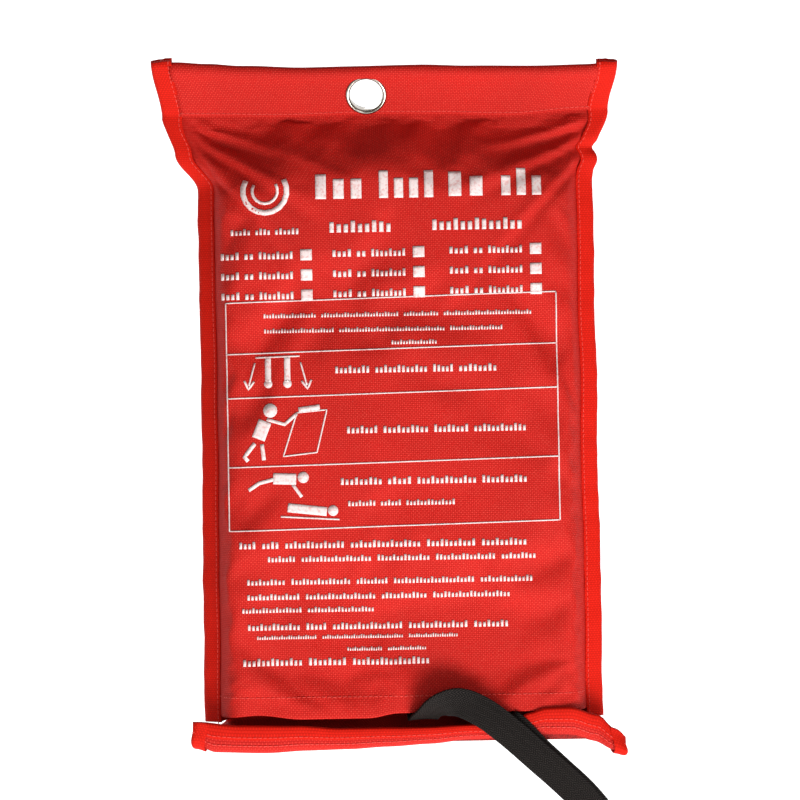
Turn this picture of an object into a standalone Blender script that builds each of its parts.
"""A fire blanket in a soft pull-down pouch, as it hangs on a wall.

Metres, +Z up, -Y is the front. The origin is the centre of the hanging eyelet.
The pouch is two cloth panels bound down both sides; the folded blanket slides
down out of its mouth, pulled by two webbing straps.
"""

import math

import bmesh
import bpy
from mathutils import Vector

# ---------------------------------------------------------------- sizes
CLOTH = 0.0010            # one ply of pouch cloth
CLOTH_GAP = 0.0004        # between two plies that lie on each other
TAPE_CLOTH = 0.0012       # hook or loop tape
WEBBING = 0.0014          # pull strap thickness
STRAP_WIDTH = 0.017

HEADER_TILT = math.radians(25)   # the header leans forward at its top
EYELET_TO_FOLD = 0.0126          # along the header, from eyelet centre to fold
EYELET_TO_TOP = 0.0200           # along the header, from eyelet centre to top edge
EYELET_HOLE = 0.0093             # radius inside the barrel
EYELET_FLANGE = 0.0117           # outer radius
BARREL_WALL = 0.0007
FLANGE_DOME = 0.0016

HEADER_WIDTH = 0.2650     # at the top edge
FOLD_WIDTH = 0.2550       # at the stitched fold under the eyelet
SHOULDER_WIDTH = 0.2410
BODY_WIDTH = 0.2265
MOUTH_WIDTH = 0.2285
HEADER_OFFSET = 0.0105    # the header's centre from the eyelet, to the right
BODY_OFFSET = 0.0155      # the body's centre from the eyelet

SHOULDER_DROP = 0.022     # fold down to where the sides start to draw in
NECK_DROP = 0.042         # fold down to where the sides run straight
SLOPE_DROP = 0.040        # fold down to where the front has its full depth
MOUTH_Z = -0.3530         # lower edge of the front hem
MOUTH_TUCK = 0.10         # share of its depth that the front loses at the mouth
TUCK_HEIGHT = 0.030

BINDING_WIDTH = 0.0095
FRONT_RISE = 0.0185       # seam plane to the front panel
BACK_RISE = 0.0165        # seam plane to the back panel
FRONT_CORNER = 0.0130     # how far in from the binding the front gets its depth
BACK_CORNER = 0.0090

HEM_HEIGHT = 0.014
LOOP_TAPE_HEIGHT = 0.010
FLAP_WIDTH_BACK = 0.186
FLAP_WIDTH_FRONT = 0.2440
FLAP_DROP = 0.0045        # flap's fold line below the mouth's edge
FLAP_FRONT_Y = -0.0118    # where the flap turns up
FLAP_FRONT_Z = -0.3728
LIP_TOP_Z = -0.3600
LIP_TURN = 0.0035         # radius of the turn up into the lip
HOOK_INSET = 0.0015       # hook tape's top edge below the lip's free edge
LIP_BINDING = 0.0065

BLANKET_RUNS = 5          # lengths of the zigzag fold
BLANKET_GAP = 0.0005
BLANKET_CLEARANCE = 0.0006
BLANKET_BOTTOM_Z = -0.3470
BLANKET_HEM = 0.012
ANCHOR_HEIGHT = 0.036
ANCHOR_X = (0.026, 0.070)

# The straps' routes: (x, y, z) and the way the webbing's face looks there.
LEFT_STRAP = (
    ((0.0260, -0.0074, -0.3479), (0, -1, 0)),
    ((0.0258, -0.0075, -0.3513), (0, -1, 0.1)),
    ((0.0258, -0.0092, -0.3548), (0, -0.6, 0.8)),
    ((0.0264, -0.0140, -0.3560), (0, 0, 1)),
    ((0.0290, -0.0214, -0.3527), (0, 0.28, 0.96)),
    ((0.0362, -0.0262, -0.3474), (0, 0.8, 0.6)),
    ((0.0470, -0.0275, -0.3458), (0, 1, 0.25)),
    ((0.0605, -0.0268, -0.3520), (0, 1, 0)),
    ((0.0750, -0.0256, -0.3634), (0, 1, 0)),
    ((0.0905, -0.0240, -0.3775), (0, 1, 0)),
    ((0.1045, -0.0212, -0.3905), (0, 1, 0)),
    ((0.1170, -0.0188, -0.4035), (0, 1, 0)),
    ((0.1265, -0.0158, -0.4185), (0, 1, 0)),
    ((0.1320, -0.0128, -0.4360), (0, 1, 0)),
    ((0.1340, -0.0100, -0.4560), (0, 1, 0)),
)
RIGHT_STRAP = (
    ((0.0700, -0.0074, -0.3479), (0, -1, 0)),
    ((0.0700, -0.0077, -0.3510), (0, -1, 0.2)),
    ((0.0701, -0.0095, -0.3548), (0, -0.6, 0.8)),
    ((0.0704, -0.0140, -0.3560), (0, 0, 1)),
    ((0.0712, -0.0188, -0.3558), (0, -0.5, 0.8)),
    ((0.0735, -0.0210, -0.3582), (0, -1, 0.3)),
    ((0.0805, -0.0212, -0.3632), (0, -1, 0)),
    ((0.0922, -0.0205, -0.3738), (0, -1, 0)),
    ((0.1060, -0.0186, -0.3868), (0, -1, 0)),
    ((0.1188, -0.0155, -0.3998), (0, -1, 0)),
    ((0.1288, -0.0122, -0.4148), (0, -1, 0)),
    ((0.1346, -0.0090, -0.4310), (0, -1, 0)),
    ((0.1366, -0.0070, -0.4480), (0, -1, 0)),
)

# ---------------------------------------------------------------- worked out
PLY = (CLOTH + CLOTH_GAP) / 2                 # seam plane to the middle of a panel
WRAP = PLY + CLOTH + CLOTH_GAP                # seam plane to the middle of a binding's leg
FOLD_Z = -EYELET_TO_FOLD * math.cos(HEADER_TILT)
SEAM_Y = EYELET_TO_FOLD * math.sin(HEADER_TILT)
TOP_Z = EYELET_TO_TOP * math.cos(HEADER_TILT)
PANEL_EDGE = WRAP + CLOTH / 2 + CLOTH_GAP     # a panel's edge, in from the binding's fold
RISE_START = BINDING_WIDTH + CLOTH / 2 + CLOTH_GAP + 0.0003
BACK_Y = SEAM_Y + PLY + BACK_RISE
HEM_Y = SEAM_Y - PLY - FRONT_RISE * (1 - MOUTH_TUCK)
FLAP_Z = MOUTH_Z - FLAP_DROP
LIP_Y = FLAP_FRONT_Y - LIP_TURN
BLANKET_BACK_Y = BACK_Y - CLOTH / 2 - BLANKET_CLEARANCE
ANCHOR_FRONT_Y = HEM_Y + WRAP - PLY + CLOTH / 2 + TAPE_CLOTH + 2 * CLOTH_GAP
BLANKET_FRONT_Y = ANCHOR_FRONT_Y + WEBBING + CLOTH_GAP
BLANKET_WIDTH = BODY_WIDTH - 2 * (RISE_START + BACK_CORNER + BLANKET_CLEARANCE)
BLANKET_TOP_Z = FOLD_Z - SLOPE_DROP - 0.004
RUN = (BLANKET_BACK_Y - BLANKET_FRONT_Y + BLANKET_GAP) / BLANKET_RUNS - BLANKET_GAP

HEADER_ROWS = [FOLD_Z + 0.004, FOLD_Z + 0.002, FOLD_Z]   # where the header starts to lean

RED = (0.62, 0.018, 0.010)
BRIGHT_RED = (0.78, 0.022, 0.010)
BLACK = (0.012, 0.012, 0.013)
NICKEL = (0.72, 0.70, 0.67)
GLASS_CLOTH = (0.80, 0.79, 0.74)


# ---------------------------------------------------------------- helpers
def clear_scene():
    for item in list(bpy.data.objects):
        bpy.data.objects.remove(item, do_unlink=True)


def collection(name):
    made = bpy.data.collections.new(name)
    bpy.context.scene.collection.children.link(made)
    return made


def material(name, colour, roughness, metallic=0.0):
    made = bpy.data.materials.new(name)
    made.use_nodes = True
    shader = made.node_tree.nodes["Principled BSDF"]
    shader.inputs["Base Color"].default_value = (*colour, 1)
    shader.inputs["Roughness"].default_value = roughness
    shader.inputs["Metallic"].default_value = metallic
    return made


def new_object(name, bm, colour, roughness=0.7, metallic=0.0):
    mesh = bpy.data.meshes.new(name)
    bm.to_mesh(mesh)
    bm.free()
    mesh.shade_smooth()
    mesh.set_sharp_from_angle(angle=math.radians(40))
    made = bpy.data.objects.new(name, mesh)
    made.data.materials.append(material(name, colour, roughness, metallic))
    PARTS.objects.link(made)
    return made


def cloth(name, place, across, along, colour, thickness=CLOTH):
    """A sheet: a grid whose corner (s, t) goes to place(s, t), given its thickness.

    across and along are the shares, from 0 to 1, at which the grid has its lines.
    """
    bm = bmesh.new()
    columns, rows = len(across) - 1, len(along) - 1
    bmesh.ops.create_grid(bm, x_segments=columns, y_segments=rows, size=0.5)
    for vertex in bm.verts:
        s = across[round((vertex.co.x + 0.5) * columns)]
        t = along[round((vertex.co.y + 0.5) * rows)]
        vertex.co = Vector(place(s, t))
    made = new_object(name, bm, colour)
    solid = made.modifiers.new("thickness", "SOLIDIFY")
    solid.thickness = thickness
    solid.offset = 0
    return made


def box(name, low, high, colour):
    low, high = Vector(low), Vector(high)
    bm = bmesh.new()
    bmesh.ops.create_cube(bm, size=1)
    bmesh.ops.scale(bm, vec=high - low, verts=bm.verts)
    bmesh.ops.translate(bm, vec=(low + high) / 2, verts=bm.verts)
    return new_object(name, bm, colour)


def even(count):
    return [i / count for i in range(count + 1)]


def smooth(share):
    share = min(max(share, 0.0), 1.0)
    return share * share * (3 - 2 * share)


def between(z, stations):
    """A value read at height z from (height, value) stations, top to bottom."""
    if z >= stations[0][0]:
        return stations[0][1]
    for (above, high), (below, low) in zip(stations, stations[1:]):
        if z >= below:
            return high + (low - high) * smooth((above - z) / (above - below))
    return stations[-1][1]


# ---------------------------------------------------------------- the pouch's form
def half_width(z):
    return 0.5 * between(z, (
        (TOP_Z, HEADER_WIDTH), (FOLD_Z, FOLD_WIDTH),
        (FOLD_Z - SHOULDER_DROP, SHOULDER_WIDTH),
        (FOLD_Z - NECK_DROP, BODY_WIDTH), (MOUTH_Z, MOUTH_WIDTH)))


def centre_x(z):
    return between(z, (
        (FOLD_Z - SHOULDER_DROP, HEADER_OFFSET), (FOLD_Z - NECK_DROP, BODY_OFFSET)))


def on_seam(z, out):
    """Where the seam surface is at height z, moved out towards the back."""
    if z <= FOLD_Z:
        return SEAM_Y + out, z
    tilt = HEADER_TILT * smooth((z - FOLD_Z) / 0.004)
    y = SEAM_Y - (z - FOLD_Z) * math.tan(tilt)
    return y + out * math.cos(tilt), z + out * math.sin(tilt)


def depth(z):
    """How much of its full depth the pouch has at height z."""
    return smooth((FOLD_Z - z) / SLOPE_DROP)


def panel_rows(bottom):
    rows = [TOP_Z - PANEL_EDGE] + HEADER_ROWS
    rows += [FOLD_Z - SLOPE_DROP * i / 8 for i in range(1, 9)]
    rows += [-0.09, -0.20, MOUTH_Z + TUCK_HEIGHT, MOUTH_Z + TUCK_HEIGHT / 2, bottom]
    return rows


def panel_columns(corner):
    """(side, distance in from the side's edge, share of the depth) across a panel."""
    left = [(-1, PANEL_EDGE, 0.0), (-1, RISE_START - 0.0006, 0.0)]
    for i in range(6):
        turn = math.radians(90) * i / 5
        left.append((-1, RISE_START + corner * (1 - math.cos(turn)), math.sin(turn)))
    right = [(1, edge, share) for _, edge, share in reversed(left)]
    return left + [(0, 0, 1.0)] + right


def panel(name, facing, rise, corner, bottom):
    """One of the two cloth panels; facing is -1 for the front, 1 for the back."""
    columns, rows = panel_columns(corner), panel_rows(bottom)

    def place(s, t):
        side, edge, share = columns[round(s * (len(columns) - 1))]
        z = rows[round(t * (len(rows) - 1))]
        x = centre_x(z) + side * (half_width(z) - edge)
        tuck = MOUTH_TUCK * smooth((MOUTH_Z + TUCK_HEIGHT - z) / TUCK_HEIGHT)
        tuck = tuck if facing < 0 else 0.0
        y, z = on_seam(z, facing * (PLY + rise * share * depth(z) * (1 - tuck)))
        return x, y, z

    return cloth(name, place, even(len(columns) - 1), even(len(rows) - 1), RED)


def folded_tape(turn_steps, leg_steps, leg):
    """The (in from the fold, out from the middle) path round a folded tape."""
    path = [(leg - (leg - WRAP) * i / leg_steps, -WRAP) for i in range(leg_steps)]
    for i in range(turn_steps + 1):
        turn = math.pi * i / turn_steps
        path.append((WRAP - WRAP * math.sin(turn), -WRAP * math.cos(turn)))
    path += [(WRAP + (leg - WRAP) * (i + 1) / leg_steps, WRAP) for i in range(leg_steps)]
    return path


def side_binding(name, side):
    path = folded_tape(4, 1, BINDING_WIDTH)
    rows = [TOP_Z] + HEADER_ROWS
    rows += [FOLD_Z - NECK_DROP * i / 7 for i in range(1, 8)]
    rows += [-0.09, -0.20, -0.30, MOUTH_Z]

    def place(s, t):
        edge, out = path[round(s * (len(path) - 1))]
        z = rows[round(t * (len(rows) - 1))]
        y, z = on_seam(z, out)
        return centre_x(z) + side * (half_width(z) - CLOTH / 2 - edge), y, z

    return cloth(name, place, even(len(path) - 1), even(len(rows) - 1), BRIGHT_RED)


def header_hem():
    """The folded hem over the top of both panels, between the two bindings."""
    low = [(TOP_Z - z, WRAP) for z in HEADER_ROWS[::-1]]
    turn = folded_tape(4, 1, TOP_Z - FOLD_Z)[1:-1]
    path = [(down, -out) for down, out in low] + turn + low[::-1]

    def place(s, t):
        down, out = path[round(t * (len(path) - 1))]
        y, z = on_seam(TOP_Z - down, out)
        half = half_width(z) - BINDING_WIDTH - CLOTH - CLOTH_GAP
        return centre_x(z) + (2 * s - 1) * half, y, z

    return cloth("header_hem", place, even(8), even(len(path) - 1), RED)


# ---------------------------------------------------------------- eyelet
def turned(name, profile, colour, parent):
    """A ring turned round the eyelet's axis from a closed (radius, height) profile."""
    bm = bmesh.new()
    points = [bm.verts.new((radius, 0, height)) for radius, height in profile]
    for a, b in zip(points, points[1:] + points[:1]):
        bm.edges.new((a, b))
    made = new_object(name, bm, colour, 0.25, 1.0)
    screw = made.modifiers.new("turn", "SCREW")
    screw.steps = screw.render_steps = 32
    screw.merge_threshold = 0.00001
    screw.use_merge_vertices = True
    made.parent = parent
    return made


def eyelet():
    """The eyelet, pressed through four plies of the header, and its washer."""
    frame = bpy.data.objects.new("eyelet_axis", None)
    frame.rotation_euler = (math.radians(90) + HEADER_TILT, 0, 0)
    PARTS.objects.link(frame)
    face = WRAP + CLOTH / 2 + CLOTH_GAP          # out to the header's faces
    barrel = EYELET_HOLE + BARREL_WALL
    dome = [(EYELET_HOLE, face + FLANGE_DOME * 0.6)]
    for i in range(5):
        turn = math.pi * (0.15 + 0.7 * i / 4)
        middle, half = (barrel + EYELET_FLANGE) / 2, (EYELET_FLANGE - EYELET_HOLE) / 2
        dome.append((middle - half * math.cos(turn), face + FLANGE_DOME * math.sin(turn)))
    profile = [(EYELET_HOLE, -face - 0.0006)] + dome
    profile += [(EYELET_FLANGE, face), (barrel, face), (barrel, -face - 0.0006)]
    turned("eyelet", profile, NICKEL, frame)
    inner = barrel + 0.0003
    washer = [(inner, -face), (EYELET_FLANGE, -face),
              (EYELET_FLANGE, -face - 0.0009), (inner, -face - 0.0009)]
    turned("eyelet_washer", washer, NICKEL, frame)

    cut = bmesh.new()
    bmesh.ops.create_cone(cut, cap_ends=True, segments=32, depth=0.03,
                          radius1=barrel + 0.0003, radius2=barrel + 0.0003)
    cutter = new_object("eyelet_cutter", cut, NICKEL)
    PARTS.objects.unlink(cutter)
    CUTTERS.objects.link(cutter)
    cutter.parent = frame
    cutter.hide_render = True
    cutter.display_type = "WIRE"
    return cutter


def punch(piece, cutter):
    hole = piece.modifiers.new("eyelet hole", "BOOLEAN")
    hole.operation = "DIFFERENCE"
    hole.object = cutter


# ---------------------------------------------------------------- mouth and flap
def front_hem():
    """The folded hem round the front panel's lower edge, and its closure tape."""
    path = folded_tape(4, 2, HEM_HEIGHT)
    half = MOUTH_WIDTH / 2 - RISE_START - FRONT_CORNER - CLOTH

    def hem(s, t):
        up, out = path[round(t * (len(path) - 1))]
        y = HEM_Y + out * (WRAP - PLY) / WRAP
        z = MOUTH_Z + CLOTH / 2 + up
        return BODY_OFFSET + (2 * s - 1) * half, y - lean(z), z

    def lean(z):
        tuck = smooth((MOUTH_Z + TUCK_HEIGHT - z) / TUCK_HEIGHT)
        return FRONT_RISE * MOUTH_TUCK * (1 - tuck)

    cloth("front_hem", hem, even(2), even(len(path) - 1), RED)
    inside = HEM_Y + WRAP - PLY + CLOTH / 2 + CLOTH_GAP
    low = MOUTH_Z + PANEL_EDGE
    box("loop_tape", (BODY_OFFSET - half, inside, low),
        (BODY_OFFSET + half, inside + TAPE_CLOTH - 0.0001, low + LOOP_TAPE_HEIGHT), RED)


def flap_line(t):
    """The flap's middle from its fold at the back, 0, to its turn at the front, 1."""
    y = BACK_Y + (FLAP_FRONT_Y - BACK_Y) * t
    sag = 0.0015 * math.sin(math.pi * t)
    return y, FLAP_Z + (FLAP_FRONT_Z - FLAP_Z) * t - sag


def bottom_flap():
    def place(s, t):
        share = 0.012 + 0.976 * t
        y, z = flap_line(share)
        half = (FLAP_WIDTH_BACK + (FLAP_WIDTH_FRONT - FLAP_WIDTH_BACK) * smooth(t * 1.6)) / 2
        return BODY_OFFSET + (2 * s - 1) * half, y, z

    return cloth("bottom_flap", place, even(6), even(7), RED)


def lip_path():
    """(y, z) up the lip, from just past the flap's turn to its free edge."""
    path = []
    for i in range(5):
        turn = math.radians(-90 - 90 * i / 4)
        path.append((FLAP_FRONT_Y + LIP_TURN * math.cos(turn),
                     FLAP_FRONT_Z + LIP_TURN * (1 + math.sin(turn))))
    top = LIP_TOP_Z - PANEL_EDGE + CLOTH / 2
    start = path[-1][1]
    return path + [(LIP_Y, start + (top - start) * i / 3) for i in range(1, 4)]


def flap_lip():
    path = lip_path()
    half = FLAP_WIDTH_FRONT / 2
    inner = half - PANEL_EDGE

    def place(s, t):
        y, z = path[round(t * (len(path) - 1))]
        return BODY_OFFSET + (2 * s - 1) * inner, y, z

    cloth("flap_lip", place, even(6), even(len(path) - 1), RED)

    reach = 2 * (WRAP - PLY)
    edge = [(down, out * reach / (2 * WRAP)) for down, out in folded_tape(4, 1, LIP_BINDING)]
    clear = half - LIP_BINDING - CLOTH

    def bind_top(s, t):
        down, out = edge[round(t * (len(edge) - 1))]
        return BODY_OFFSET + (2 * s - 1) * clear, LIP_Y + out, LIP_TOP_Z - CLOTH / 2 - down

    cloth("lip_binding", bind_top, even(6), even(len(edge) - 1), BRIGHT_RED)

    low, high = path[4][1] + CLOTH_GAP, LIP_TOP_Z
    for name, side in (("left_lip_binding", -1), ("right_lip_binding", 1)):
        def bind_end(s, t, side=side):
            inward, out = edge[round(t * (len(edge) - 1))]
            z = low + (high - low) * s
            return BODY_OFFSET + side * (half - inward), LIP_Y + out, z

        cloth(name, bind_end, even(3), even(len(edge) - 1), BRIGHT_RED)

    inside = LIP_Y + WRAP - PLY + CLOTH / 2 + CLOTH_GAP
    box("hook_tape", (BODY_OFFSET - clear, inside, low),
        (BODY_OFFSET + clear, inside + TAPE_CLOTH, LIP_TOP_Z - HOOK_INSET), RED)


# ---------------------------------------------------------------- blanket
def blanket_path():
    """(y, z) along the folded sheet's middle, from its front lower edge."""
    pitch = RUN + BLANKET_GAP
    low, high = BLANKET_BOTTOM_Z + pitch, BLANKET_TOP_Z - pitch
    y = BLANKET_FRONT_Y + RUN / 2
    path = [(y, BLANKET_BOTTOM_Z + BLANKET_HEM + CLOTH_GAP)]
    for run in range(BLANKET_RUNS):
        up = run % 2 == 0
        end = high if up else low
        path.append((y, end))
        if run == BLANKET_RUNS - 1:
            break
        for i in range(1, 6):
            turn = math.pi * i / 6
            lift = pitch / 2 * math.sin(turn) * (1 if up else -1)
            path.append((y + pitch / 2 * (1 - math.cos(turn)), end + lift))
        y += pitch
        path.append((y, end))
    return path


def blanket():
    path = blanket_path()
    half = BLANKET_WIDTH / 2

    def place(s, t):
        y, z = path[round(t * (len(path) - 1))]
        return BODY_OFFSET + (2 * s - 1) * half, y, z

    cloth("blanket_sheet", place, even(1), even(len(path) - 1), GLASS_CLOTH, RUN)
    box("blanket_edge_tape", (BODY_OFFSET - half, BLANKET_FRONT_Y, BLANKET_BOTTOM_Z),
        (BODY_OFFSET + half, BLANKET_FRONT_Y + RUN, BLANKET_BOTTOM_Z + BLANKET_HEM), GLASS_CLOTH)
    for name, x in zip(("left_strap_anchor", "right_strap_anchor"), ANCHOR_X):
        box(name, (x - STRAP_WIDTH / 2, ANCHOR_FRONT_Y, BLANKET_BOTTOM_Z),
            (x + STRAP_WIDTH / 2, ANCHOR_FRONT_Y + WEBBING, BLANKET_BOTTOM_Z + ANCHOR_HEIGHT),
            BLACK)


def on_curve(points, share):
    """A point on the smooth curve through points (Catmull-Rom)."""
    last = len(points) - 1
    place = share * last
    i = min(int(place), last - 1)
    t = place - i
    a, b = points[max(i - 1, 0)], points[i]
    c, d = points[i + 1], points[min(i + 2, last)]
    return 0.5 * (2 * b + (c - a) * t + (2 * a - 5 * b + 4 * c - d) * t * t
                  + (3 * b - a - 3 * c + d) * t ** 3)


def strap(name, route):
    """A flat webbing strap along its route, its face turned as the route says."""
    points = [Vector(point) for point, _ in route]
    faces = [Vector(face).normalized() for _, face in route]

    def place(s, t):
        ahead = on_curve(points, min(t + 0.01, 1)) - on_curve(points, max(t - 0.01, 0))
        across = ahead.normalized().cross(on_curve(faces, t)).normalized()
        return on_curve(points, t) + across * STRAP_WIDTH * (s - 0.5)

    return cloth(name, place, even(1), even(30), BLACK, WEBBING)


# ---------------------------------------------------------------- build
clear_scene()
PARTS = collection("fire_blanket")
CUTTERS = collection("cutters")

front = panel("front_panel", -1, FRONT_RISE, FRONT_CORNER, MOUTH_Z + PANEL_EDGE)
back = panel("back_panel", 1, BACK_RISE, BACK_CORNER, FLAP_Z + CLOTH_GAP)
hem = header_hem()
hole_cutter = eyelet()
for ply in (front, back, hem):
    punch(ply, hole_cutter)
side_binding("left_binding", -1)
side_binding("right_binding", 1)
front_hem()
bottom_flap()
flap_lip()
blanket()
strap("left_pull_strap", LEFT_STRAP)
strap("right_pull_strap", RIGHT_STRAP)
